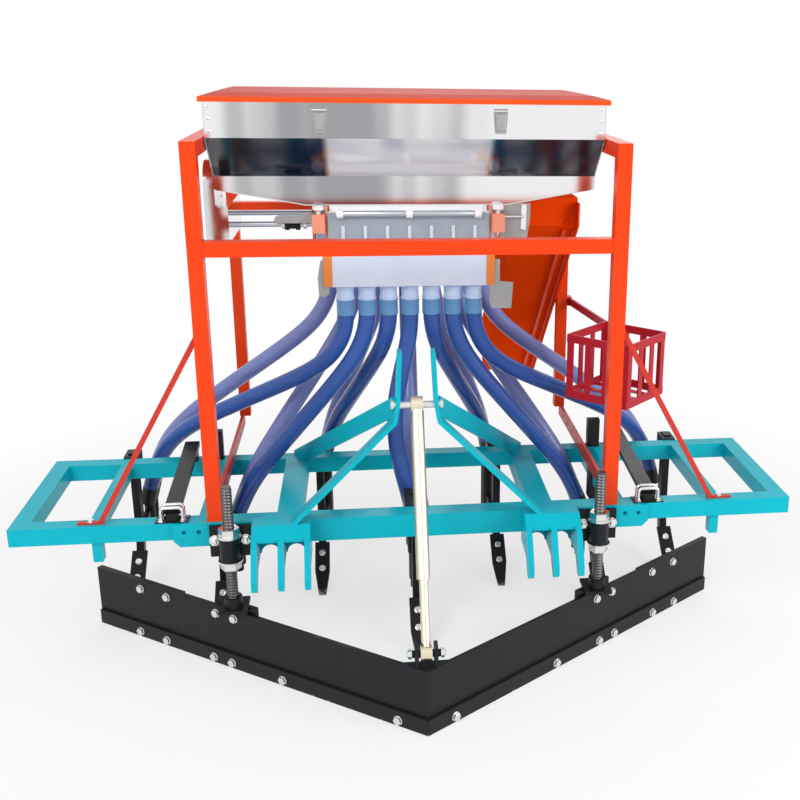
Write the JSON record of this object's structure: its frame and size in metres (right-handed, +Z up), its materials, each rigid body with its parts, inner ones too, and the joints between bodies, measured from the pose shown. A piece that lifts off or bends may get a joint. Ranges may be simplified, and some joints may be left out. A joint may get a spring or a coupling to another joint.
{
  "type": "tractor seed drill",
  "caption": "Tractor-mounted seed and fertiliser drill: stainless hopper on an orange stand, hoses to shovel tines on a teal toolbar, and a V-shaped levelling blade in front.",
  "frame": {"origin": "on the ground below the middle of the machine's outline", "axes": "+X to the right seen from the tractor, +Y to the rear, +Z up"},
  "size_m": [2.22, 1.8206, 1.59],
  "materials": {
    "teal_paint": "gloss enamel",
    "zinc": "bright zinc plate",
    "black_paint": "satin enamel",
    "dark_steel": "oiled thread",
    "orange_paint": "gloss enamel",
    "red_paint": "gloss enamel",
    "stainless": "polished stainless",
    "aluminium": "plain",
    "white_plastic": "moulded",
    "blue_hose": "clear tinted",
    "violet_hose": "clear tinted"
  },
  "bodies": {
    "frame": {"toolbar_front": "teal_paint", "toolbar_rear": "teal_paint", "toolbar_ends": "teal_paint", "toolbar_members": "teal_paint", "hitch_left": "teal_paint", "hitch_right": "teal_paint", "mast_plates": "teal_paint", "mast_braces": "teal_paint", "mast_pin": "zinc", "jack_nuts": "zinc", "jack_clamps": "black_paint", "tines": "black_paint", "shovels": "black_paint", "tine_clamps": "black_paint", "boots": "black_paint", "side_arms": "black_paint", "stand_posts": "orange_paint", "stand_rails": "orange_paint", "meter_brackets": "orange_paint", "chain_case": "orange_paint", "side_stays": "red_paint", "basket": "red_paint", "foot_rails": "red_paint", "hopper_front": "stainless", "hopper_rear": "stainless", "hopper_ends": "stainless", "hopper_ridge": "stainless", "hopper_floors": "stainless", "gear_cover": "stainless", "meter_channels": "aluminium", "meter_boxes": "white_plastic", "spigots": "white_plastic", "seed_hose_1": "blue_hose", "seed_hose_2": "blue_hose", "seed_hose_3": "blue_hose", "seed_hose_4": "blue_hose", "seed_hose_5": "blue_hose", "seed_hose_6": "blue_hose", "seed_hose_7": "blue_hose", "feed_hose_1": "violet_hose", "feed_hose_2": "violet_hose", "feed_hose_3": "violet_hose", "feed_hose_4": "violet_hose", "feed_hose_5": "violet_hose", "feed_hose_6": "violet_hose", "feed_hose_7": "violet_hose"},
    "blade": {"blade_left": "black_paint", "blade_right": "black_paint", "blade_extensions": "black_paint", "blade_edges": "black_paint", "blade_feet": "black_paint", "lift_screws": "dark_steel", "apex_clevis": "black_paint"},
    "lid": {"lid": "orange_paint"},
    "front_meter": {"shaft_front": "aluminium"},
    "rear_meter": {"shaft_rear": "aluminium"},
    "brace_sleeve": {"brace_sleeve": "zinc"},
    "brace_rod": {"brace_rod": "zinc"}
  },
  "joints": [
    {"name": "lid_hinge", "type": "hinge", "parent": "frame", "child": "lid", "pos_m": [0, 0.20928, 1.57], "axis": [-1, 0, 0], "range_deg": [0, 100]},
    {"name": "rear_meter_turn", "type": "hinge", "parent": "frame", "child": "rear_meter", "pos_m": [0, 0.03928, 1.225], "axis": [1, 0, 0], "continuous": true},
    {"name": "front_meter_turn", "type": "hinge", "parent": "frame", "child": "front_meter", "pos_m": [0, -0.19072, 1.225], "axis": [1, 0, 0], "continuous": true},
    {"name": "blade_height", "type": "slide", "parent": "frame", "child": "blade", "axis": [0, 0, 1], "range_m": [0, 0.08]},
    {"name": "brace_swing", "type": "hinge", "parent": "frame", "child": "brace_sleeve", "pos_m": [0, -0.52472, 0.783], "axis": [-1, 0, 0], "range_deg": [0, 4]},
    {"name": "brace_slide", "type": "slide", "parent": "brace_sleeve", "child": "brace_rod", "axis": [0, 0.5004, 0.8658], "range_m": [0, 0.07]}
  ],
  "couplings": [
    {"joint": "front_meter_turn", "follows": "rear_meter_turn", "ratio": 1},
    {"joint": "brace_swing", "follows": "blade_height", "rad_per_m": 0.84646},
    {"joint": "brace_slide", "follows": "blade_height", "ratio": 0.84886}
  ]
}
